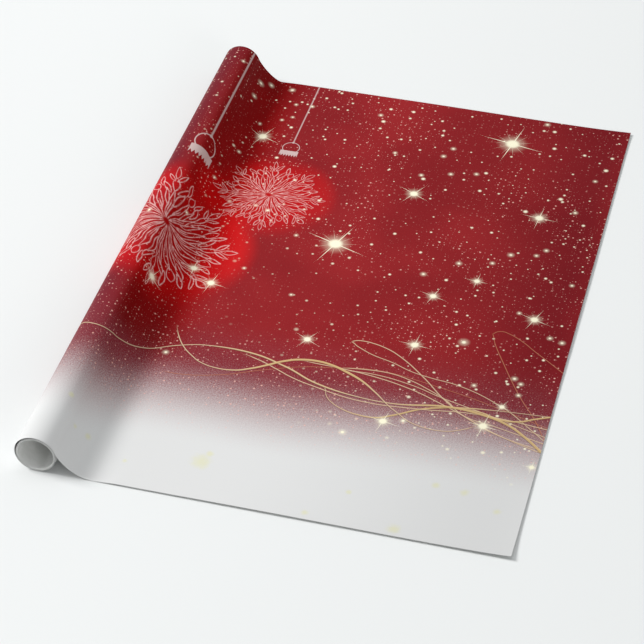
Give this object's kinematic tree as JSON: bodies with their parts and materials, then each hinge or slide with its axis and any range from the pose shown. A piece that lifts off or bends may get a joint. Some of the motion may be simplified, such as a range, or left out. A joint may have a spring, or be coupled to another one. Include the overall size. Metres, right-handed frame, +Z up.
{
  "type": "wrapping paper roll",
  "caption": "Coreless roll of printed gift wrap lying on a table, with its sheet partly unrolled and an open bore through the roll.",
  "frame": {"origin": "on the table, under the middle of the whole object's box", "axes": "+Y along the roll, +X from the roll to the sheet's free edge, +Z up from the table"},
  "size_m": [0.506, 0.737, 0.044],
  "materials": {
    "printed_paper": "matte",
    "paper_back": "matte"
  },
  "bodies": {
    "sheet": {"flat_sheet": "printed_paper"},
    "free_edge": {"free_end": "printed_paper"},
    "outer_wrap": {"rising_web": "printed_paper", "outer_turn": "printed_paper"},
    "roll": {"wound_turns": "paper_back"}
  },
  "joints": [
    {"name": "pay_out", "type": "slide", "parent": "sheet", "child": "outer_wrap", "axis": [-1, 0, 0], "range_m": [0, 1.1]},
    {"name": "roll_turn", "type": "hinge", "parent": "outer_wrap", "child": "roll", "pos_m": [-0.23065, 0, 0.02165], "axis": [0, 1, 0], "range_deg": [0, 2880]},
    {"name": "edge_lift", "type": "hinge", "parent": "sheet", "child": "free_edge", "pos_m": [0.133, 0, 0.00012], "axis": [0, -1, 0], "range_deg": [0, 70]}
  ],
  "couplings": [
    {"joint": "roll_turn", "follows": "pay_out", "rad_per_m": 45.455}
  ]
}
